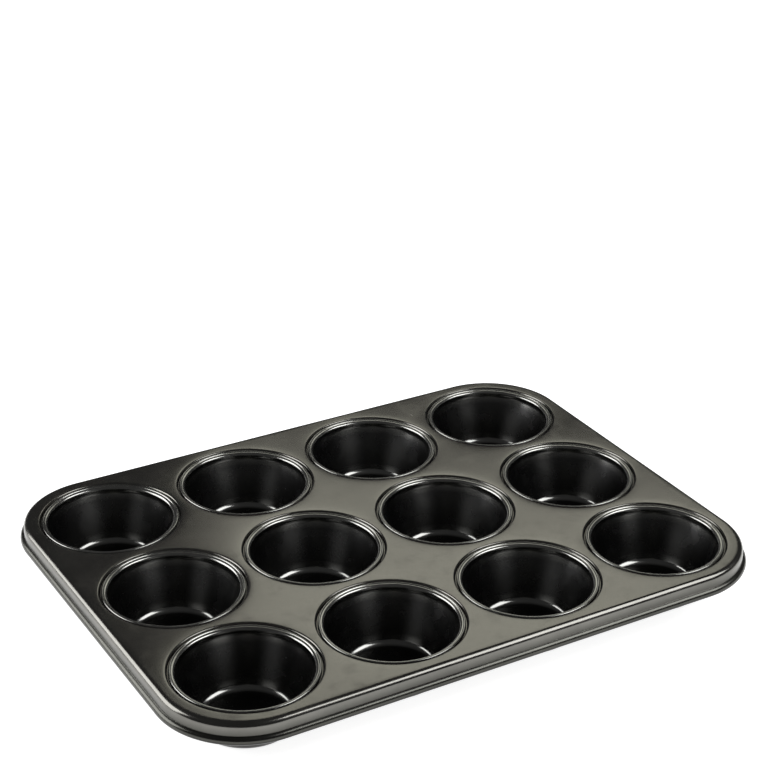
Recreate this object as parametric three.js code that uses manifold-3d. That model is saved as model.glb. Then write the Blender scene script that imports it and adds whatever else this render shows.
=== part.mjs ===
// A twelve-cup muffin tin, assembled from pressed steel sheet: one frame plate with a turned-down,
// wired edge, twelve separately drawn cups whose lips are rolled over the collars of the plate, and
// the steel wire that the plate's rolled edge closes on. Millimetres, +Z up. The origin is the middle
// of the plane that the cup floors stand on; +X runs along the row of four cups.

import * as THREE from 'three';
import { mergeVertices } from 'three/addons/utils/BufferGeometryUtils.js';
import Module from 'manifold-3d';

// ---- driving dimensions -------------------------------------------------------------------------

const COLUMNS = 4;
const ROWS = 3;
const CUP_PITCH = 83.5;
const SHEET = 0.5;
const JOINT_GAP = 0.3; // play left between pieces that touch

const DECK_TOP = 32.0; // height of the plate's upper face above the cup floors
const RECESS_DEPTH = 1.6; // how far the plate dips round each cup
const RECESS_RADIUS = 39.6;
const RECESS_FLOOR_RADIUS = 38.8;
const COLLAR_RADIUS = 35.5; // inner face of the collar turned down round each hole
const COLLAR_DEPTH = 2.5;

const CUP_FLOOR_RADIUS = 22.0; // flat part of the floor, outside
const CUP_FILLET = 5.0;
const WALL_SLOPE = THREE.MathUtils.degToRad(19.0); // from the vertical
const NECK_RADIUS = COLLAR_RADIUS - JOINT_GAP;
const NECK_START = 28.0;
const LIP_RADIUS = 38.0;
const LIP_BEND = 1.5; // inside of the mouth, where the neck turns over into the lip
const COLLAR_BEND = 0.7; // middle of the sheet, where the recess turns down into the collar

const EDGE_MARGIN = 44.3; // from the outer cups' centres to where the plate starts to turn down
const CORNER_SHIFT = 2.0; // the corner's centre lies this far outside the corner cup's centre
const EDGE_BEND = 2.8;
const SKIRT_SLOPE = THREE.MathUtils.degToRad(1.0); // flare of the skirt from the vertical
const SKIRT_LENGTH = 4.1;
const ROLL_MARGIN = 47.15; // from the outer cups' centres to the centre of the rolled edge
const ROLL_DROP = 9.45; // from the plate's upper face to the centre of the rolled edge
const ROLL_RADIUS = 2.4;
const WIRE_RADIUS = ROLL_RADIUS - SHEET - JOINT_GAP;

const CUP_SIDES = 24;
const CORNER_STEPS = 6;
const WIRE_SIDES = 8;

// ---- finishes -----------------------------------------------------------------------------------

const COATED_PLATE = { color: 0x55544f, roughness: 0.38, metalness: 0.6 };
const COATED_CUP = { color: 0x2b2b2a, roughness: 0.3, metalness: 0.6 };
const BRIGHT_WIRE = { color: 0xa3a6a8, roughness: 0.35, metalness: 1.0 };

// ---- working values -----------------------------------------------------------------------------

const CORNER_X = ((COLUMNS - 1) / 2) * CUP_PITCH + CORNER_SHIFT;
const CORNER_Y = ((ROWS - 1) / 2) * CUP_PITCH + CORNER_SHIFT;
const HALF_SHEET = SHEET / 2;
const TURN = Math.PI * 2;

const wasm = await Module();
wasm.setup();

// ---- solids -------------------------------------------------------------------------------------

function toSolid(geometry) {
  const shell = geometry.clone();
  shell.deleteAttribute('normal');
  shell.deleteAttribute('uv');
  const merged = mergeVertices(shell, 1e-4);
  const vertProperties = new Float32Array(merged.attributes.position.array);
  const triVerts = new Uint32Array(merged.index.array);
  return new wasm.Manifold(new wasm.Mesh({ numProp: 3, vertProperties, triVerts }));
}

function toGeometry(solid) {
  const mesh = solid.getMesh();
  const geometry = new THREE.BufferGeometry();
  geometry.setAttribute('position', new THREE.BufferAttribute(new Float32Array(mesh.vertProperties), 3));
  geometry.setIndex(new THREE.BufferAttribute(new Uint32Array(mesh.triVerts), 1));
  geometry.computeVertexNormals();
  return geometry;
}

function point(radius, height) {
  return new THREE.Vector2(radius, height);
}

// Points on an arc from one angle to another, both ends included.
function arc(centre, radius, from, to, steps) {
  const points = [];
  for (let i = 0; i <= steps; i += 1) {
    const angle = THREE.MathUtils.degToRad(from + ((to - from) * i) / steps);
    points.push(point(centre.x + radius * Math.cos(angle), centre.y + radius * Math.sin(angle)));
  }
  return points;
}

// The closed section of a sheet whose middle follows the path: each point moves half a thickness to
// either side, along the bisector of its two edges.
function thicken(path) {
  const left = [];
  const right = [];
  path.forEach((at, i) => {
    const before = path[Math.max(i - 1, 0)];
    const after = path[Math.min(i + 1, path.length - 1)];
    const into = i > 0 ? at.clone().sub(before).normalize() : after.clone().sub(at).normalize();
    const out = i < path.length - 1 ? after.clone().sub(at).normalize() : into.clone();
    const normal = point(-(into.y + out.y), into.x + out.x).normalize();
    const reach = HALF_SHEET / Math.max(normal.dot(point(-out.y, out.x)), 0.5);
    left.push(at.clone().addScaledVector(normal, reach));
    right.push(at.clone().addScaledVector(normal, -reach));
  });
  const outline = [...left, ...right.reverse()];
  return THREE.ShapeUtils.isClockWise(outline) ? outline.reverse() : outline;
}

// A section, counter-clockwise in radius and height, turned about the vertical axis.
function turned(section) {
  return new THREE.LatheGeometry([...section, section[0]], CUP_SIDES).rotateX(Math.PI / 2);
}

// A section carried round the plate: a turned ring whose four quarters are moved out to the corner
// centres, so that the faces between the quarters become the straight sides.
function carriedRound(section) {
  const profile = [...section, section[0]];
  const stations = 4 * (CORNER_STEPS + 1);
  const geometry = new THREE.LatheGeometry(profile, stations);
  const position = geometry.attributes.position;
  for (let i = 0; i < position.count; i += 1) {
    const station = Math.floor(i / profile.length) % stations;
    const { x: radius, y: height } = profile[i % profile.length];
    const { x, y } = edgePoint(station, radius);
    position.setXYZ(i, x, y, height);
  }
  return geometry;
}

// The point of the plate's outline at one station, a given radius from its corner's centre.
function edgePoint(station, radius) {
  const quarter = Math.floor(station / (CORNER_STEPS + 1));
  const step = station % (CORNER_STEPS + 1);
  const angle = ((quarter + step / CORNER_STEPS) * TURN) / 4;
  const sideX = quarter === 0 || quarter === 3 ? 1 : -1;
  const sideY = quarter < 2 ? 1 : -1;
  return point(sideX * CORNER_X + radius * Math.cos(angle), sideY * CORNER_Y + radius * Math.sin(angle));
}

function outline(radius) {
  const stations = 4 * (CORNER_STEPS + 1);
  return Array.from({ length: stations }, (_, station) => edgePoint(station, radius));
}

function ring(centre, radius) {
  return Array.from({ length: CUP_SIDES }, (_, i) => {
    const angle = (i / CUP_SIDES) * TURN;
    return point(centre.x + radius * Math.cos(angle), centre.y + radius * Math.sin(angle));
  });
}

function cupCentres() {
  const centres = [];
  for (let row = 0; row < ROWS; row += 1) {
    for (let column = 0; column < COLUMNS; column += 1) {
      const x = (column - (COLUMNS - 1) / 2) * CUP_PITCH;
      const y = (row - (ROWS - 1) / 2) * CUP_PITCH;
      centres.push({ x, y, name: `cup_${'abc'[row]}${column + 1}` });
    }
  }
  return centres;
}

// ---- frame plate --------------------------------------------------------------------------------

// The flat of the plate, with a hole as wide as the recess round each cup.
function deck() {
  const overlap = 0.5;
  const shape = new THREE.Shape(outline(EDGE_MARGIN - CORNER_SHIFT - overlap));
  for (const centre of cupCentres()) {
    shape.holes.push(new THREE.Path(ring(centre, RECESS_RADIUS - overlap)));
  }
  const geometry = new THREE.ExtrudeGeometry(shape, { depth: SHEET, bevelEnabled: false });
  return geometry.translate(0, 0, DECK_TOP - SHEET);
}

// The recess round a cup, and the collar turned down at its inner edge.
function collar(centre) {
  const land = DECK_TOP - RECESS_DEPTH - HALF_SHEET;
  const bend = point(COLLAR_RADIUS + HALF_SHEET + COLLAR_BEND, land - COLLAR_BEND);
  const path = [
    point(RECESS_RADIUS + SHEET, DECK_TOP - HALF_SHEET),
    point(RECESS_RADIUS - SHEET / 2, DECK_TOP - HALF_SHEET),
    point(RECESS_FLOOR_RADIUS, land),
    ...arc(bend, COLLAR_BEND, 90, 180, 1),
    point(COLLAR_RADIUS + HALF_SHEET, land - COLLAR_DEPTH),
  ];
  return turned(thicken(path)).translate(centre.x, centre.y, 0);
}

// The bend, the flared skirt, and the edge rolled outwards round the wire. The roll stops short of
// the skirt, so the wire can be seen from below through a slit.
function rolledEdge() {
  const bend = point(EDGE_MARGIN - CORNER_SHIFT, DECK_TOP - HALF_SHEET - EDGE_BEND);
  const roll = point(ROLL_MARGIN - CORNER_SHIFT, DECK_TOP - ROLL_DROP);
  const slope = THREE.MathUtils.radToDeg(SKIRT_SLOPE);
  const bendPoints = arc(bend, EDGE_BEND, 90, slope, 3);
  const skirtTop = bendPoints[bendPoints.length - 1];
  const skirtEnd = point(
    skirtTop.x + SKIRT_LENGTH * Math.sin(SKIRT_SLOPE),
    skirtTop.y - SKIRT_LENGTH * Math.cos(SKIRT_SLOPE),
  );
  const flat = point(bend.x - 2 * SHEET, DECK_TOP - HALF_SHEET);
  const rollPoints = [
    ...arc(roll, ROLL_RADIUS - HALF_SHEET, 45, -180, 5),
    arc(roll, ROLL_RADIUS - HALF_SHEET, -205, -205, 1)[0],
  ];
  return carriedRound(thicken([flat, ...bendPoints, skirtEnd, ...rollPoints]));
}

function framePlate() {
  let plate = toSolid(deck()).add(toSolid(rolledEdge()));
  for (const centre of cupCentres()) {
    plate = plate.add(toSolid(collar(centre)));
  }
  return toGeometry(plate);
}

// ---- cups and wire ------------------------------------------------------------------------------

// Floor, fillet, sloping wall, upright neck inside the collar, and the lip that lies over the
// recess. The inner face follows the outer one, a sheet's thickness inside it.
function cup() {
  const lipUnder = DECK_TOP - RECESS_DEPTH + JOINT_GAP;
  const lipTop = lipUnder + SHEET;
  const slope = THREE.MathUtils.radToDeg(WALL_SLOPE);
  const filletCentre = point(CUP_FLOOR_RADIUS, CUP_FILLET);
  const outside = arc(filletCentre, CUP_FILLET, -90, -slope, 2);
  const inside = arc(filletCentre, CUP_FILLET - SHEET, -slope, -90, 2);
  const innerNeck = NECK_RADIUS - SHEET;
  const lipBend = point(innerNeck + LIP_BEND, lipTop - LIP_BEND);
  const profile = [
    point(0, 0),
    ...outside,
    point(NECK_RADIUS, NECK_START),
    ...arc(lipBend, LIP_BEND - SHEET, 180, 90, 2),
    point(LIP_RADIUS, lipUnder),
    point(LIP_RADIUS - SHEET / 2, lipTop),
    ...arc(lipBend, LIP_BEND, 90, 180, 2),
    point(innerNeck, NECK_START),
    ...inside,
    point(0, SHEET),
  ];
  return new THREE.LatheGeometry(profile, CUP_SIDES).rotateX(Math.PI / 2);
}

function rimWire() {
  const centre = point(ROLL_MARGIN - CORNER_SHIFT, DECK_TOP - ROLL_DROP);
  const section = arc(centre, WIRE_RADIUS, 0, 360, WIRE_SIDES).slice(0, WIRE_SIDES);
  return carriedRound(section);
}

// ---- assembly -----------------------------------------------------------------------------------

function piece(name, geometry, finish) {
  const mesh = new THREE.Mesh(geometry, new THREE.MeshStandardMaterial(finish));
  mesh.name = name;
  return mesh;
}

const tin = new THREE.Group();
tin.add(piece('frame_plate', framePlate(), COATED_PLATE));
tin.add(piece('rim_wire', rimWire(), BRIGHT_WIRE));
for (const centre of cupCentres()) {
  const shell = piece(centre.name, cup(), COATED_CUP);
  shell.position.set(centre.x, centre.y, 0);
  tin.add(shell);
}

export default tin;
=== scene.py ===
"""Looks of a twelve-cup muffin tin: one pressed plate with a wired edge, and twelve seamed-in cups.

Every piece is a numpy surface: a section, drawn as a few corner points with round bends, is carried
round a cup's axis or round the outline of the plate. Sizes are millimetres, meshes are metres.
"""

import logging
import math
from dataclasses import dataclass, field
from enum import Enum

import bmesh
import bpy
import numpy as np
from mathutils import Matrix, Vector


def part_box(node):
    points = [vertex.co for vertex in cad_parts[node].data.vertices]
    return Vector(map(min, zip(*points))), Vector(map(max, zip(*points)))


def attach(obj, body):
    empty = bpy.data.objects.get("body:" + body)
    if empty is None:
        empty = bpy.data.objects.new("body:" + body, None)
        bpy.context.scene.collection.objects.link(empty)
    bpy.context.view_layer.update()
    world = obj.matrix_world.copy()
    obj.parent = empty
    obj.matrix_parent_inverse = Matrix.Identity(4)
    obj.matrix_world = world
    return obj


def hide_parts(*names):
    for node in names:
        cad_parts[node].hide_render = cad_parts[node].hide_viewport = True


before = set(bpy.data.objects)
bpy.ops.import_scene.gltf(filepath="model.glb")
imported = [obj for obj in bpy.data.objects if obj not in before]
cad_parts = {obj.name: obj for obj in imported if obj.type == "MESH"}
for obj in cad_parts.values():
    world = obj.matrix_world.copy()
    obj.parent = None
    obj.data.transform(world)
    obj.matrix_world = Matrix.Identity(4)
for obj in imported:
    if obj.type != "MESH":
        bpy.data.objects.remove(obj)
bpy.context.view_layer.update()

MM = 0.001
TURN = 2.0 * math.pi
ROOT = "root"
ARC_STEPS = 8
END_STEPS = 6
SHARPEST_TURN = 1e-4
MERGE_MM = 0.002
SMALLEST_EDGE_MM = 0.0005
FILM_WIDTH = 36.0
WHITE = (1.0, 1.0, 1.0)

log = logging.getLogger("muffin_tin")


class Slot(Enum):
    """The record's material slots."""

    PLATE = "plate_coating"
    CUP = "cup_coating"
    WIRE = "rim_wire"


# ---- sections -----------------------------------------------------------------------------------


def bent(
    points: list[tuple[float, float]], bends: list[float], steps: int = ARC_STEPS
) -> np.ndarray:
    """A line through the points whose corners are rounded to the given radii.

    Each inner corner becomes an arc tangent to its two edges: the arc starts and ends a distance
    radius times tan(half the turn) from the corner.

    Args:
        points: Corner points (radius, height), in millimetres.
        bends: One bend radius for each inner corner; 0 keeps it sharp.
        steps: Segments in each arc.

    Returns:
        The points of the line, one row each.
    """
    corners = np.asarray(points, dtype=float)
    line = [corners[:1]]
    for at, before, after, radius in zip(corners[1:-1], corners[:-2], corners[2:], bends):
        into = (at - before) / np.linalg.norm(at - before)
        out = (after - at) / np.linalg.norm(after - at)
        turn = math.acos(float(np.clip(into @ out, -1.0, 1.0)))
        if radius <= 0.0 or turn < SHARPEST_TURN:
            line.append(at[None])
            continue
        side = 1.0 if into[0] * out[1] - into[1] * out[0] > 0.0 else -1.0
        start = at - into * radius * math.tan(turn / 2.0)
        inward = side * np.array([-into[1], into[0]])
        angle = side * turn * np.linspace(0.0, 1.0, steps + 1)
        centre = start + inward * radius
        swing = np.column_stack(
            [
                -inward[0] * np.cos(angle) + inward[1] * np.sin(angle),
                -inward[0] * np.sin(angle) - inward[1] * np.cos(angle),
            ]
        )
        line.append(centre + radius * swing)
    line.append(corners[-1:])
    return np.vstack(line)


def arc(
    centre: tuple[float, float], radius: float, start: float, end: float, steps: int
) -> np.ndarray:
    """Points on a circle of the section plane, from one angle to another in degrees."""
    angle = np.radians(np.linspace(start, end, steps + 1))
    return np.column_stack([centre[0] + radius * np.cos(angle), centre[1] + radius * np.sin(angle)])


def beside(line: np.ndarray, distance: float) -> np.ndarray:
    """The line moved sideways by a distance, to its left when that is positive.

    Each point moves along the bisector of its two edges, by the distance over the cosine of half
    the turn, so the edges stay parallel.

    Args:
        line: Points of the line, one row each.
        distance: How far the line moves.

    Returns:
        The moved points, in the same order.
    """
    edge = np.diff(line, axis=0)
    edge /= np.linalg.norm(edge, axis=1, keepdims=True)
    into = np.vstack([edge[:1], edge])
    out = np.vstack([edge, edge[-1:]])
    left_out = np.column_stack([-out[:, 1], out[:, 0]])
    bisector = left_out + np.column_stack([-into[:, 1], into[:, 0]])
    bisector /= np.linalg.norm(bisector, axis=1, keepdims=True)
    reach = distance / np.maximum((bisector * left_out).sum(axis=1), 0.5)
    return line + bisector * reach[:, None]


# ---- meshes -------------------------------------------------------------------------------------


def grid_faces(rows: int, columns: int) -> np.ndarray:
    """Quads between neighbouring rows and columns of a grid of vertices stored row by row.

    The last row joins the first again.

    Args:
        rows: Number of rows of vertices.
        columns: Number of vertices in a row.

    Returns:
        Four vertex indices for each quad.
    """
    row = np.arange(rows)
    here = row[:, None] * columns + np.arange(columns - 1)
    there = ((row + 1) % rows)[:, None] * columns + np.arange(columns - 1)
    quads = np.stack([here, there, there + 1, here + 1], axis=-1)
    return quads.reshape(-1, 4)


def solid(name: str, parts: list[tuple[np.ndarray, np.ndarray]]) -> bpy.types.Object:
    """One closed, smooth-shaded object from grids that share their border points.

    Args:
        name: The piece's name.
        parts: Pairs of vertices in millimetres and quads.

    Returns:
        The object, linked to the scene, at the origin.
    """
    offsets = np.cumsum([0] + [len(vertices) for vertices, _ in parts[:-1]])
    vertices = np.vstack([vertices for vertices, _ in parts]) * MM
    faces = np.vstack([quads + offset for (_, quads), offset in zip(parts, offsets)])
    mesh = bpy.data.meshes.new(name)
    mesh.from_pydata(vertices.tolist(), [], faces.tolist())
    shell = bmesh.new()
    shell.from_mesh(mesh)
    bmesh.ops.remove_doubles(shell, verts=shell.verts, dist=MERGE_MM * MM)
    bmesh.ops.dissolve_degenerate(shell, edges=shell.edges, dist=SMALLEST_EDGE_MM * MM)
    bmesh.ops.recalc_face_normals(shell, faces=shell.faces)
    open_edges = sum(1 for edge in shell.edges if not edge.is_manifold)
    shell.to_mesh(mesh)
    shell.free()
    mesh.polygons.foreach_set("use_smooth", np.ones(len(mesh.polygons), dtype=bool))
    piece = bpy.data.objects.new(name, mesh)
    bpy.context.scene.collection.objects.link(piece)
    if open_edges:
        log.warning("%s has %d open edges", name, open_edges)
    return piece


def seat(piece: bpy.types.Object, nodes: list[str], finish: bpy.types.Material) -> None:
    """Dresses a piece and says which CAD nodes it stands for.

    Args:
        piece: The finished piece.
        nodes: The CAD nodes that it replaces.
        finish: Its material.
    """
    piece.data.materials.append(finish)
    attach(piece, ROOT)
    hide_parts(*nodes)
    log.info("%s: %d faces, stands for %s", piece.name, len(piece.data.polygons), ", ".join(nodes))


# ---- sizes shared by the pieces -----------------------------------------------------------------


@dataclass(frozen=True)
class Layout:
    """Where the cups stand, read from the CAD frame, and the sizes that the pieces share.

    Attributes:
        nodes: The cup nodes, front row first.
        centres: Each cup's axis, in millimetres.
        top: Height of the plate's upper face above the cup floors.
        sheet: Thickness of the sheet.
        recess_depth: How far the plate dips round each cup.
        corner_shift: How far the corner's centre lies outside the corner cup's axis.
        edge_margin: From the outer cups' axes to where the plate starts to turn down.
        spokes: Number of vertices round a cup.
    """

    nodes: list[str]
    centres: np.ndarray
    top: float
    sheet: float = 0.5
    recess_depth: float = 1.6
    corner_shift: float = 2.0
    edge_margin: float = 44.3
    spokes: int = 120

    @classmethod
    def from_frame(cls) -> "Layout":
        """Reads the cups' axes and the plate's top from the CAD nodes' boxes."""
        nodes = sorted(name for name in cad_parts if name.startswith("cup_"))
        boxes = [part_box(name) for name in nodes]
        centres = np.array([[(low[i] + high[i]) / 2.0 for i in (0, 1)] for low, high in boxes]) / MM
        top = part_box("frame_plate")[1][2] / MM
        return cls(nodes=nodes, centres=centres, top=top)

    @property
    def corner(self) -> np.ndarray:
        """Centre of the plate's corner curve, in the first quadrant."""
        return self.centres.max(axis=0) + self.corner_shift

    @property
    def pitch(self) -> float:
        """Spacing of the cups."""
        return float(np.diff(np.unique(self.centres[:, 0].round(3))).min())

    def angles(self) -> np.ndarray:
        """Directions of the spokes round a cup."""
        return np.arange(self.spokes) * TURN / self.spokes


# ---- pieces -------------------------------------------------------------------------------------


@dataclass
class FramePlate:
    """The pressed plate: deck, recesses, collars, skirt and rolled edge.

    Attributes:
        layout: Shared sizes and places.
        collar_radius: Inner face of the collar.
        collar_depth: Depth of the collar below the recess.
        hole_bends: Bends at the collar, beside the recess's floor and at the deck.
        recess_radius: Where the floor of the recess ends, from the cup's axis.
        shoulder_radius: Where the recess's side would meet the deck.
        flat_radius: Where the section ends and the deck begins.
        draw_depth: How far the deck is drawn down beside a recess.
        draw_reach: Distance over which that dies away to about a third.
        skirt_slope: Flare of the skirt from the vertical, in degrees.
        skirt_length: Length of its straight part.
        edge_bend: Bend between the deck and the skirt.
        edge_steps: Segments in that bend.
        crease_bend: Bend between the skirt and the roll.
        crease_angle: Where the roll's circle would meet the skirt, in degrees.
        roll_margin: From the outer cups' axes to the middle of the roll.
        roll_drop: From the plate's top to the middle of the roll.
        roll_radius: Outer radius of the roll.
        roll_angles: Where the roll starts and ends, in degrees.
        roll_steps: Segments in the roll.
        deck_rings: Rings of quads between a recess and the border of its share of the deck.
        deck_crowding: Power that crowds those rings towards the recess.
    """

    layout: Layout
    collar_radius: float = 35.5
    collar_depth: float = 2.5
    hole_bends: tuple[float, float, float] = (0.95, 0.35, 0.6)
    recess_radius: float = 38.55
    shoulder_radius: float = 39.3
    flat_radius: float = 40.4
    draw_depth: float = 0.12
    draw_reach: float = 2.2
    skirt_slope: float = 1.0
    skirt_length: float = 4.1
    edge_bend: float = 2.8
    edge_steps: int = 10
    crease_bend: float = 0.3
    crease_angle: float = 70.0
    roll_margin: float = 47.15
    roll_drop: float = 9.45
    roll_radius: float = 2.4
    roll_angles: tuple[float, float] = (66.0, -205.0)
    roll_steps: int = 34
    deck_rings: int = 8
    deck_crowding: float = 1.5

    def hole_line(self) -> np.ndarray:
        """Middle line of the sheet from the collar's free end out to the flat deck."""
        lay = self.layout
        half = lay.sheet / 2.0
        land = lay.top - lay.recess_depth - half
        deck = lay.top - half
        corners = [
            (self.collar_radius + half, land - self.collar_depth),
            (self.collar_radius + half, land),
            (self.recess_radius, land),
            (self.shoulder_radius, deck),
            (self.flat_radius, deck),
        ]
        return bent(corners, list(self.hole_bends))

    def drawn_down(self, points: np.ndarray) -> np.ndarray:
        """The deck's height changes where pressing the recesses has drawn the sheet down.

        Each recess lowers the sheet by a depth that falls off as the exponential of the distance
        from its shoulder; the sum fades to nothing over the last few millimetres to the outline.

        Args:
            points: Vertices, in millimetres.

        Returns:
            The lowered vertices.
        """
        lay = self.layout
        plan = points[:, :2]
        away = np.linalg.norm(plan[:, None, :] - lay.centres[None, :, :], axis=2)
        away -= self.shoulder_radius
        drop = self.draw_depth * np.exp(-np.maximum(away, 0.0) / self.draw_reach).sum(axis=1)
        beyond = plan - np.clip(plan, -lay.corner, lay.corner)
        inside = lay.edge_margin - lay.corner_shift - np.linalg.norm(beyond, axis=1)
        fade = np.clip(inside / self.draw_reach, 0.0, 1.0)
        moved = points.copy()
        moved[:, 2] -= drop * fade**2 * (3.0 - 2.0 * fade)
        return moved

    def cell_reach(self, centre: np.ndarray) -> tuple[np.ndarray, np.ndarray]:
        """The border of one cup's share of the deck, a point for each spoke.

        A spoke ends on the line half way to the next cup, or, at the edge of the plate, on its
        outline. The spoke nearest to the meeting point of a half-way line and the outline ends
        just there, so that neighbouring shares meet point to point.

        Args:
            centre: The cup's axis.

        Returns:
            The border points, and whether each lies on the plate's outline.
        """
        lay = self.layout
        angle = lay.angles()
        ray = np.column_stack([np.cos(angle), np.sin(angle)])
        outer = lay.centres.max(axis=0) + lay.edge_margin
        high = np.minimum(centre + lay.pitch / 2.0, outer)
        low = np.maximum(centre - lay.pitch / 2.0, -outer)
        high = np.where(centre > lay.centres.max(axis=0) - 1.0, outer, high)
        low = np.where(centre < lay.centres.min(axis=0) + 1.0, -outer, low)
        with np.errstate(divide="ignore"):
            far = np.where(ray > 0.0, high - centre, low - centre) / ray
        border = centre + ray * np.min(np.where(np.abs(ray) < 1e-9, np.inf, far), axis=1)[:, None]
        for corner in np.array(np.meshgrid([low[0], high[0]], [low[1], high[1]])).T.reshape(-1, 2):
            toward = math.atan2(*(corner - centre)[::-1])
            border[int(round(toward / TURN * lay.spokes)) % lay.spokes] = corner
        base = np.clip(border, -lay.corner, lay.corner)
        beyond = border - base
        radius = lay.edge_margin - lay.corner_shift
        length = np.linalg.norm(beyond, axis=1)
        round_corner = (np.abs(beyond) > 1e-6).all(axis=1)
        for i in np.flatnonzero(round_corner):
            away = centre - base[i]
            along = float(ray[i] @ away)
            reach = -along + math.sqrt(along * along - float(away @ away) + radius * radius)
            border[i] = centre + ray[i] * reach
        on_outline = (length > radius - 1e-6) | round_corner
        return border, on_outline

    def outline(self) -> tuple[np.ndarray, np.ndarray]:
        """Stations round the plate where the deck's shares end.

        Returns:
            The foot of each station, on the rectangle of the corner centres, and its direction.
        """
        points = []
        for centre in self.layout.centres:
            border, on_outline = self.cell_reach(centre)
            points.append(border[on_outline])
        points = np.unique(np.vstack(points).round(6), axis=0)
        points = points[np.argsort(np.arctan2(points[:, 1], points[:, 0]))]
        base = np.clip(points, -self.layout.corner, self.layout.corner)
        direction = (points - base) / np.linalg.norm(points - base, axis=1, keepdims=True)
        return base, direction

    def share(self, centre: np.ndarray) -> tuple[np.ndarray, np.ndarray]:
        """One cup's share of the plate, from the underside's border through the hole to the top's.

        The section's radius and height are turned about the cup's axis; past the section's end the
        rings go over in equal steps from the circle to the border of the share.

        Args:
            centre: The cup's axis.

        Returns:
            Vertices and quads.
        """
        lay = self.layout
        line = self.hole_line()
        half = lay.sheet / 2.0
        end = arc((line[0, 0], line[0, 1]), half, 360.0, 180.0, END_STEPS)[1:-1]
        under = beside(line, -half)[::-1]
        over = beside(line, half)
        section = np.vstack([under, end, over])
        angle = lay.angles()
        ray = np.column_stack([np.cos(angle), np.sin(angle)])
        border, _ = self.cell_reach(centre)
        rings = centre + section[None, :, :1] * ray[:, None, :]
        heights = np.broadcast_to(section[None, :, 1:], (lay.spokes, len(section), 1))
        middle = np.concatenate([rings, heights], axis=2)
        step = np.linspace(1.0, 0.0, self.deck_rings + 1)[:-1] ** self.deck_crowding
        first = middle[:, :1, :]
        last = middle[:, -1:, :]
        edge_under = np.concatenate([border[:, None, :], first[:, :, 2:]], axis=2)
        edge_over = np.concatenate([border[:, None, :], last[:, :, 2:]], axis=2)
        blend_under = first + (edge_under - first) * step[None, :, None]
        blend_over = last + (edge_over - last) * step[::-1][None, :, None]
        grid = np.concatenate([blend_under, middle, blend_over], axis=1)
        points = self.drawn_down(grid.reshape(-1, 3))
        return points, grid_faces(lay.spokes, grid.shape[1])

    def edge_line(self) -> np.ndarray:
        """Middle line of the sheet from the deck over the bend and skirt and round the roll."""
        lay = self.layout
        half = lay.sheet / 2.0
        shift = lay.corner_shift
        bend = (lay.edge_margin - shift, lay.top - half - self.edge_bend)
        roll = (self.roll_margin - shift, lay.top - self.roll_drop)
        start = [(bend[0], lay.top - half)]
        turned = arc(bend, self.edge_bend, 90.0, self.skirt_slope, self.edge_steps)
        slope = math.radians(self.skirt_slope)
        foot = turned[-1] + self.skirt_length * np.array([math.sin(slope), -math.cos(slope)])
        middle = self.roll_radius - half
        meeting = arc(roll, middle, self.crease_angle, self.crease_angle, 1)[0]
        corners = [tuple(turned[-1]), tuple(foot), tuple(meeting)]
        crease = bent(corners, [self.crease_bend], steps=5)
        curl = arc(roll, middle, *self.roll_angles, self.roll_steps)
        return np.vstack([start, turned[1:], crease[1:], curl])

    def edge(self) -> tuple[np.ndarray, np.ndarray]:
        """The bend, skirt and roll, carried round the outline as one folded-over strip.

        The strip's first and last points stand straight above and below the middle of the sheet,
        so that they fall on the border of the deck.

        Returns:
            Vertices and quads.
        """
        lay = self.layout
        line = self.edge_line()
        half = lay.sheet / 2.0
        tip = line[-1] - line[-2]
        heading = math.degrees(math.atan2(tip[1], tip[0]))
        end = arc(tuple(line[-1]), half, heading + 90.0, heading - 90.0, END_STEPS)[1:-1]
        section = np.vstack([beside(line, half), end, beside(line, -half)[::-1]])
        section[0] = line[0] + (0.0, half)
        section[-1] = line[0] - (0.0, half)
        base, direction = self.outline()
        plan = base[:, None, :] + section[None, :, :1] * direction[:, None, :]
        heights = np.broadcast_to(section[None, :, 1:], (len(base), len(section), 1))
        grid = np.concatenate([plan, heights], axis=2)
        return grid.reshape(-1, 3), grid_faces(len(base), len(section))

    def build(self, finish: bpy.types.Material) -> bpy.types.Object:
        """Builds the plate and dresses it."""
        parts = [self.share(centre) for centre in self.layout.centres] + [self.edge()]
        piece = solid("plate_sheet", parts)
        seat(piece, ["frame_plate"], finish)
        return piece


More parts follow.
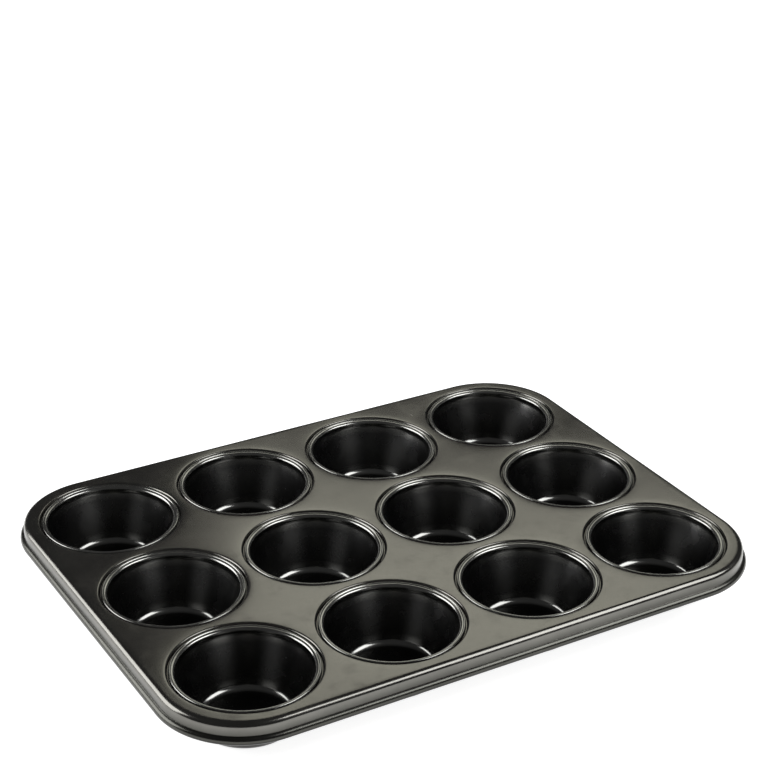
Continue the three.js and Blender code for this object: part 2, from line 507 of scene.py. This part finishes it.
@dataclass
class Cup:
    """One drawn cup: floor, fillet, flared wall, neck, and the beaded lip in the recess.

    Attributes:
        layout: Shared sizes and places.
        floor_radius: Flat part of the floor, outside.
        fillet: Outer radius of the fillet between floor and wall.
        wall_slope: Flare of the wall from the vertical, in degrees.
        neck_radius: Outside of the neck, inside the collar.
        neck_start: Height where the wall meets the neck.
        lip_drop: From the plate's top to the lip's flat.
        bead_radius: Radius of the crest of the bead near the lip's edge.
        bead_height: Height of the bead above the lip's flat.
        bead_foot: From the bead's crest in to where the bead starts.
        bead_crest: How far the crest's flat reaches in and out from that radius.
        bead_bends: Bends at the bead's foot, and at the inner and outer end of its crest.
        lip_radius: Free edge of the lip, turned down into the recess.
        neck_bend: Bend between the wall and the neck.
        lip_bend: Bend between the neck and the lip.
        edge_steps: Segments round the lip's free edge.
    """

    layout: Layout
    floor_radius: float = 22.0
    fillet: float = 5.0
    wall_slope: float = 19.0
    neck_radius: float = 35.2
    neck_start: float = 28.0
    lip_drop: float = 0.7
    bead_radius: float = 37.25
    bead_height: float = 0.4
    bead_foot: float = 0.6
    bead_crest: tuple[float, float] = (0.25, 0.2)
    bead_bends: tuple[float, float, float] = (0.4, 0.35, 0.35)
    lip_radius: float = 37.95
    neck_bend: float = 6.0
    lip_bend: float = 1.25
    edge_steps: int = 8

    def section(self) -> np.ndarray:
        """The cup's section from the axis under the floor, over the lip, back to the axis."""
        lay = self.layout
        half = lay.sheet / 2.0
        flat = lay.top - self.lip_drop - half
        crest = flat + self.bead_height
        slope = math.radians(self.wall_slope)
        knee = self.floor_radius + self.fillet * math.tan((math.pi / 2.0 - slope) / 2.0)
        neck = self.neck_radius - half
        middle = bent(
            [
                (0.0, half),
                (knee, half),
                (neck, self.neck_start),
                (neck, flat),
                (self.bead_radius - self.bead_foot, flat),
                (self.bead_radius - self.bead_crest[0], crest),
                (self.bead_radius + self.bead_crest[1], crest),
                (self.lip_radius - half, flat - half),
            ],
            [self.fillet - half, self.neck_bend, self.lip_bend, *self.bead_bends],
        )
        outer = beside(middle, -half)
        inner = beside(middle, half)[::-1]
        tip = middle[-1] - middle[-2]
        heading = math.degrees(math.atan2(tip[1], tip[0]))
        end = arc(tuple(middle[-1]), half, heading - 90.0, heading + 90.0, self.edge_steps)[1:-1]
        return np.vstack([outer, end, inner])

    def build(self, index: int, finish: bpy.types.Material) -> bpy.types.Object:
        """Builds and dresses one cup.

        Args:
            index: The cup's place in the layout.
            finish: Its material.

        Returns:
            The cup.
        """
        lay = self.layout
        section = self.section()
        angle = lay.angles()
        ray = np.column_stack([np.cos(angle), np.sin(angle)])
        plan = lay.centres[index] + section[None, :, :1] * ray[:, None, :]
        heights = np.broadcast_to(section[None, :, 1:], (lay.spokes, len(section), 1))
        grid = np.concatenate([plan, heights], axis=2)
        faces = grid_faces(lay.spokes, len(section))
        node = lay.nodes[index]
        piece = solid(f"{node}_shell", [(grid.reshape(-1, 3), faces)])
        seat(piece, [node], finish)
        return piece


@dataclass
class RimWire:
    """The wire inside the rolled edge.

    Attributes:
        plate: The plate whose roll holds it.
        radius: The wire's radius.
        sides: Sides of its section.
    """

    plate: FramePlate
    radius: float = 1.6
    sides: int = 20

    def build(self, finish: bpy.types.Material) -> bpy.types.Object:
        """Carries a round section along the middle of the roll."""
        lay = self.plate.layout
        middle = (self.plate.roll_margin - lay.corner_shift, lay.top - self.plate.roll_drop)
        section = arc(middle, self.radius, 0.0, 360.0, self.sides)
        base, direction = self.plate.outline()
        plan = base[:, None, :] + section[None, :, :1] * direction[:, None, :]
        heights = np.broadcast_to(section[None, :, 1:], (len(base), len(section), 1))
        grid = np.concatenate([plan, heights], axis=2)
        faces = grid_faces(len(base), len(section))
        piece = solid("edge_wire", [(grid.reshape(-1, 3), faces)])
        seat(piece, ["rim_wire"], finish)
        return piece


# ---- finishes -----------------------------------------------------------------------------------


def linear(hex_colour: str) -> tuple[float, float, float, float]:
    """An sRGB hex colour as linear red, green, blue and an alpha of 1."""
    parts = [int(hex_colour[i : i + 2], 16) / 255.0 for i in (1, 3, 5)]
    curve = [p / 12.92 if p <= 0.04045 else ((p + 0.055) / 1.055) ** 2.4 for p in parts]
    return (*curve, 1.0)


def add_node(
    tree: bpy.types.NodeTree, kind: str, settings: dict | None = None, links: dict | None = None
) -> bpy.types.Node:
    """Adds a node, sets its properties and input values, and links its inputs.

    Args:
        tree: The node tree.
        kind: The node's type name.
        settings: Property or input name to value.
        links: Input name or number to the output socket that feeds it.

    Returns:
        The node.
    """
    node = tree.nodes.new(kind)
    for key, value in (settings or {}).items():
        if key in node.inputs.keys():
            node.inputs[key].default_value = value
        else:
            setattr(node, key, value)
    for key, socket in (links or {}).items():
        tree.links.new(socket, node.inputs[key])
    return node


@dataclass(frozen=True)
class Band:
    """The coating's look at one height above the table; between two bands it blends.

    Attributes:
        height: Height in millimetres.
        colour: Colour at that height, as a hex colour; on the cups and on the plate's skirt and
            roll it holds painted highlight and painted shade.
        roughness: Mean roughness.
    """

    height: float
    colour: str
    roughness: float


@dataclass(frozen=True)
class BakedCoating:
    """Non-stick coating baked on cold-rolled steel: dark, satin, with a faint spray texture.

    The coating is sprayed and baked, so its gloss drifts a little over centimetres and its surface
    has a fine orange peel. The bands paint light and shade by height: a lighter cup lip and floor
    fillet are painted highlight, and a darker cup floor and bowl and a darker skirt and roll on the
    plate are painted shade. Faces that look down are darker too, a painted shade. Handling leaves
    faint scuffs, a little lighter and rougher than the rest.

    Attributes:
        name: The material's name.
        bands: The look at each height, lowest first.
        top: Height that the band positions are measured against, in millimetres.
        thinning: How much lighter and darker the fine grain is.
        cloud: How much lighter and darker the broad patches are.
        underside: Colour of faces that look down, as a share of the rest; this darkening is painted
            shade.
        drift: How far the roughness goes to either side of the mean.
        patch_mm: Spacing of the broad patches of gloss and tone.
        patch_layers: Number of finer layers in the patches.
        scuff_layers: Number of finer layers in the scuffs.
        fine_layers: Number of finer layers in the grain and the spray texture.
        grain_mm: Spacing of the fine grain.
        scuff_mm: Spacing of the scuffs.
        scuff_gain: How much lighter and rougher a scuff is.
        scuff_range: Noise values where a scuff starts and where it is full.
        down_range: Upward part of the facing where the underside is full and where it ends.
        peel_mm: Spacing of the spray texture.
        peel_depth_mm: Depth of the spray texture.
    """

    name: str
    bands: tuple[Band, ...]
    top: float = 32.0
    thinning: float = 0.05
    cloud: float = 0.3
    underside: float = 0.35
    drift: float = 0.06
    patch_mm: float = 34.0
    patch_layers: float = 3.0
    scuff_layers: float = 8.0
    fine_layers: float = 2.0
    grain_mm: float = 2.5
    scuff_mm: float = 9.0
    scuff_gain: float = 0.08
    scuff_range: tuple[float, float] = (0.52, 0.82)
    down_range: tuple[float, float] = (-0.35, -0.05)
    peel_mm: float = 0.9
    peel_depth_mm: float = 0.0015

    def ramp(
        self, tree: bpy.types.NodeTree, height: bpy.types.NodeSocket, colours: list
    ) -> bpy.types.Node:
        """A blend over the bands' heights.

        Args:
            tree: The node tree.
            height: Height as a share of the top.
            colours: One linear colour for each band.

        Returns:
            The ramp node.
        """
        node = add_node(tree, "ShaderNodeValToRGB", {}, {"Fac": height})
        steps = node.color_ramp.elements
        while len(steps) > 1:
            steps.remove(steps[-1])
        steps[0].position = self.bands[0].height / self.top
        steps[0].color = colours[0]
        for band, colour in zip(self.bands[1:], colours[1:]):
            steps.new(band.height / self.top).color = colour
        return node

    def noise(
        self, tree: bpy.types.NodeTree, place: bpy.types.NodeSocket, spacing: float, detail: float
    ) -> bpy.types.NodeSocket:
        """A noise of the given spacing, in millimetres, and number of finer layers."""
        settings = {"Scale": 1.0 / (spacing * MM), "Detail": detail}
        return add_node(tree, "ShaderNodeTexNoise", settings, {"Vector": place}).outputs["Fac"]

    def spread(
        self,
        tree: bpy.types.NodeTree,
        source: bpy.types.NodeSocket,
        onto: tuple[float, float],
        taken: tuple[float, float] = (0.0, 1.0),
    ) -> bpy.types.NodeSocket:
        """Maps a value from one range onto another, and holds it at the ends.

        Args:
            tree: The node tree.
            source: The value.
            onto: Ends of the range that it is mapped onto.
            taken: Ends of the range that it is taken from.

        Returns:
            The mapped value.
        """
        settings = {
            "From Min": taken[0],
            "From Max": taken[1],
            "To Min": onto[0],
            "To Max": onto[1],
        }
        return add_node(tree, "ShaderNodeMapRange", settings, {"Value": source}).outputs["Result"]

    def joined(
        self,
        tree: bpy.types.NodeTree,
        operation: str,
        first: bpy.types.NodeSocket,
        second: bpy.types.NodeSocket,
    ) -> bpy.types.NodeSocket:
        """Two values put together by a Math node's operation."""
        node = add_node(tree, "ShaderNodeMath", {"operation": operation}, {0: first, 1: second})
        return node.outputs["Value"]

    def material(self) -> bpy.types.Material:
        """Builds the material's nodes."""
        material = bpy.data.materials.new(self.name)
        material.use_nodes = True
        tree = material.node_tree
        tree.nodes.clear()
        place = add_node(tree, "ShaderNodeTexCoord").outputs["Object"]
        level = add_node(tree, "ShaderNodeSeparateXYZ", {}, {"Vector": place}).outputs["Z"]
        height = self.spread(tree, level, (0.0, 1.0), (0.0, self.top * MM))
        # The band colours hold painted light by height: highlight on the cup lip and fillet, shade
        # in the cup floor and bowl and on the plate's skirt and roll.
        colour = self.ramp(tree, height, [linear(band.colour) for band in self.bands])
        gloss = self.ramp(tree, height, [(band.roughness,) * 3 + (1.0,) for band in self.bands])
        patches = self.noise(tree, place, self.patch_mm, self.patch_layers)
        scuffs = self.noise(tree, place, self.scuff_mm, self.scuff_layers)
        grain = self.noise(tree, place, self.grain_mm, self.fine_layers)
        peel = self.noise(tree, place, self.peel_mm, self.fine_layers)
        worn = self.spread(tree, scuffs, (0.0, self.scuff_gain), self.scuff_range)
        tone = self.spread(tree, grain, (1.0 - self.thinning, 1.0 + self.thinning))
        cloud = self.spread(tree, patches, (-self.cloud, self.cloud))
        drift = self.spread(tree, patches, (-self.drift, self.drift))
        facing = add_node(tree, "ShaderNodeNewGeometry").outputs["Normal"]
        upward = add_node(tree, "ShaderNodeSeparateXYZ", {}, {"Vector": facing}).outputs["Z"]
        # Faces that look down are darkened: painted shade.
        underside_shade = self.spread(tree, upward, (self.underside, 1.0), self.down_range)
        patchy = self.joined(tree, "ADD", self.joined(tree, "ADD", tone, cloud), worn)
        value = self.joined(tree, "MULTIPLY", patchy, underside_shade)
        tinted = add_node(
            tree,
            "ShaderNodeHueSaturation",
            {},
            {"Color": colour.outputs["Color"], "Value": value},
        )
        uneven = self.joined(tree, "ADD", drift, worn)
        roughness = self.joined(tree, "ADD", gloss.outputs["Color"], uneven)
        bump = add_node(
            tree,
            "ShaderNodeBump",
            {"Strength": 1.0, "Distance": self.peel_depth_mm * MM},
            {"Height": peel},
        )
        shader = add_node(
            tree,
            "ShaderNodeBsdfPrincipled",
            {"Metallic": 1.0},
            {
                "Base Color": tinted.outputs["Color"],
                "Roughness": roughness,
                "Normal": bump.outputs["Normal"],
            },
        )
        add_node(tree, "ShaderNodeOutputMaterial", {}, {"Surface": shader.outputs["BSDF"]})
        return material


@dataclass(frozen=True)
class DrawnWire:
    """Galvanised steel wire, drawn: bright, with the zinc's fine spangle.

    Attributes:
        name: The material's name.
        colour: Its colour.
        roughness: Mean roughness.
        drift: How far the roughness goes to either side of the mean.
        spangle_mm: Spacing of the spangle.
    """

    name: str = "galvanised_wire"
    colour: str = "#A9ACAE"
    roughness: float = 0.35
    drift: float = 0.08
    spangle_mm: float = 1.5

    def material(self) -> bpy.types.Material:
        """Builds the material's nodes."""
        material = bpy.data.materials.new(self.name)
        material.use_nodes = True
        tree = material.node_tree
        tree.nodes.clear()
        place = add_node(tree, "ShaderNodeTexCoord").outputs["Object"]
        spangle = add_node(
            tree, "ShaderNodeTexVoronoi", {"Scale": 1.0 / (self.spangle_mm * MM)}, {"Vector": place}
        )
        gloss = add_node(
            tree,
            "ShaderNodeMapRange",
            {"To Min": self.roughness - self.drift, "To Max": self.roughness + self.drift},
            {"Value": spangle.outputs["Distance"]},
        )
        shader = add_node(
            tree,
            "ShaderNodeBsdfPrincipled",
            {"Metallic": 1.0, "Base Color": linear(self.colour)},
            {"Roughness": gloss.outputs["Result"]},
        )
        add_node(tree, "ShaderNodeOutputMaterial", {}, {"Surface": shader.outputs["BSDF"]})
        return material


# ---- studio -------------------------------------------------------------------------------------


@dataclass
class SoftBox:
    """A soft area light that looks at a point.

    Attributes:
        name: The light's name.
        azimuth: Direction from the tin, in degrees clockwise from +Y seen from above.
        elevation: Height of that direction, in degrees.
        distance: Distance from the point, in metres.
        size: Width and height, in metres.
        power: Power in watts.
        colour: Its colour, linear.
    """

    name: str
    azimuth: float
    elevation: float
    distance: float
    size: tuple[float, float]
    power: float
    colour: tuple[float, float, float] = WHITE

    def build(self) -> None:
        """Adds the light."""
        azimuth = math.radians(self.azimuth)
        elevation = math.radians(self.elevation)
        toward = Vector(
            (
                math.sin(azimuth) * math.cos(elevation),
                math.cos(azimuth) * math.cos(elevation),
                math.sin(elevation),
            )
        )
        data = bpy.data.lights.new(self.name, "AREA")
        data.shape = "RECTANGLE"
        data.size, data.size_y = self.size
        data.energy = self.power
        data.color = self.colour
        light = bpy.data.objects.new(self.name, data)
        light.location = toward * self.distance
        light.rotation_euler = toward.to_track_quat("Z", "Y").to_euler()
        bpy.context.scene.collection.objects.link(light)


@dataclass
class Studio:
    """Pale floor, even surroundings, soft boxes and the camera.

    Attributes:
        floor_size: Side of the floor, in metres.
        floor_colour: Its colour.
        floor_roughness: Its roughness.
        floor_specular: Strength of its reflection.
        floor_glow: Light that the floor gives off, as a light table does.
        floor_gap: How far the floor lies below the tin, so that the two aren't one plane, in mm.
        surround: Strength of the surroundings.
        aim: Point on the middle of the view, in metres.
        distance: From that point to the camera.
        azimuth: Direction of view, in degrees clockwise from +Y seen from above.
        elevation: How far the view looks down, in degrees.
        roll: How far the camera is tipped, in degrees.
        lens: Focal length in millimetres.
        boxes: The soft lights: the side ones draw the bright lines, the one behind lights the deck.
    """

    floor_size: float = 12.0
    floor_colour: str = "#F4F4F3"
    floor_roughness: float = 0.9
    floor_specular: float = 0.1
    floor_glow: float = 0.9
    floor_gap: float = 0.05
    surround: float = 0.08
    aim: tuple[float, float, float] = (0.09166, 0.15336, 0.0310)
    distance: float = 1.26709
    azimuth: float = 30.366
    elevation: float = 26.422
    roll: float = 0.550
    lens: float = 93.72
    boxes: list[SoftBox] = field(
        default_factory=lambda: [
            SoftBox("right_box", 130.0, 45.0, 1.5, (1.0, 0.75), 12.0),
            SoftBox("left_box", -53.0, 25.0, 1.5, (1.2, 1.0), 17.0),
            SoftBox("back_box", 35.5, 35.6, 1.8, (0.74, 0.40), 1.4, (1.0, 0.99, 0.88)),
        ]
    )

    def build_floor(self) -> None:
        """Adds the floor, a plain pale sheet."""
        place = (0.0, 0.0, -self.floor_gap * MM)
        bpy.ops.mesh.primitive_plane_add(size=self.floor_size, location=place)
        floor = bpy.context.object
        floor.name = "floor"
        material = bpy.data.materials.new("pale_floor")
        material.use_nodes = True
        shader = material.node_tree.nodes["Principled BSDF"]
        shader.inputs["Base Color"].default_value = linear(self.floor_colour)
        shader.inputs["Roughness"].default_value = self.floor_roughness
        shader.inputs["Specular IOR Level"].default_value = self.floor_specular
        shader.inputs["Emission Color"].default_value = (*WHITE, 1.0)
        shader.inputs["Emission Strength"].default_value = self.floor_glow
        floor.data.materials.append(material)

    def build_world(self) -> None:
        """Sets even, white surroundings."""
        world = bpy.data.worlds.new("studio_surround")
        world.use_nodes = True
        background = world.node_tree.nodes["Background"]
        background.inputs["Color"].default_value = (*WHITE, 1.0)
        background.inputs["Strength"].default_value = self.surround
        bpy.context.scene.world = world

    def build_camera(self) -> None:
        """Adds the camera, looking at the aim point, and makes it the scene's."""
        azimuth = math.radians(self.azimuth)
        elevation = math.radians(self.elevation)
        view = Vector(
            (
                math.sin(azimuth) * math.cos(elevation),
                math.cos(azimuth) * math.cos(elevation),
                -math.sin(elevation),
            )
        )
        right = view.cross(Vector((0.0, 0.0, 1.0))).normalized()
        up = right.cross(view)
        level = Matrix((right, up, -view)).transposed()
        turn = (level @ Matrix.Rotation(math.radians(self.roll), 3, "Z")).to_4x4()
        data = bpy.data.cameras.new("camera")
        data.lens = self.lens
        data.sensor_width = FILM_WIDTH
        camera = bpy.data.objects.new("camera", data)
        camera.matrix_world = Matrix.Translation(Vector(self.aim) - view * self.distance) @ turn
        bpy.context.scene.collection.objects.link(camera)
        bpy.context.scene.camera = camera

    def build(self) -> None:
        """Builds the whole studio."""
        self.build_floor()
        self.build_world()
        for box in self.boxes:
            box.build()
        self.build_camera()
        bpy.context.scene.view_settings.view_transform = "Standard"


def main() -> None:
    """Builds the tin's pieces in order, then the studio."""
    logging.basicConfig(level=logging.INFO, format="%(name)s: %(message)s")
    layout = Layout.from_frame()
    # The plate's colour darkens from the skirt (29 mm) down to the roll (25 and 21 mm): painted
    # shade that tones down their reflections; the deck band (31.5 mm) is the coating's own colour.
    plate_coating_with_painted_shade = BakedCoating(
        "nonstick_plate_painted_edge_shade",
        (
            Band(21.0, "#434340", 0.26),
            Band(25.0, "#4E4E4A", 0.24),
            Band(29.0, "#6B6A66", 0.20),
            Band(31.5, "#6C6B67", 0.19),
        ),
    ).material()
    # Cup colours by height hold painted light: the lighter fillet bands (1.4 to 3.4 mm) and lip
    # band (29 mm) are painted highlight, and the darker floor and bowl bands (0.6, 6.5 and 24 mm)
    # are painted shade.
    cup_coating_with_painted_light = BakedCoating(
        "baked_nonstick_cup",
        (
            Band(0.6, "#464644", 0.25),
            Band(1.4, "#787876", 0.16),
            Band(3.4, "#787876", 0.16),
            Band(6.5, "#444443", 0.27),
            Band(24.0, "#525252", 0.26),
            Band(29.0, "#8E8E8B", 0.18),
        ),
    ).material()
    plate = FramePlate(layout)
    plate.build(plate_coating_with_painted_shade)
    RimWire(plate).build(DrawnWire().material())
    cup = Cup(layout)
    for index in range(len(layout.nodes)):
        cup.build(index, cup_coating_with_painted_light)
    Studio().build()


if __name__ == "__main__":
    main()
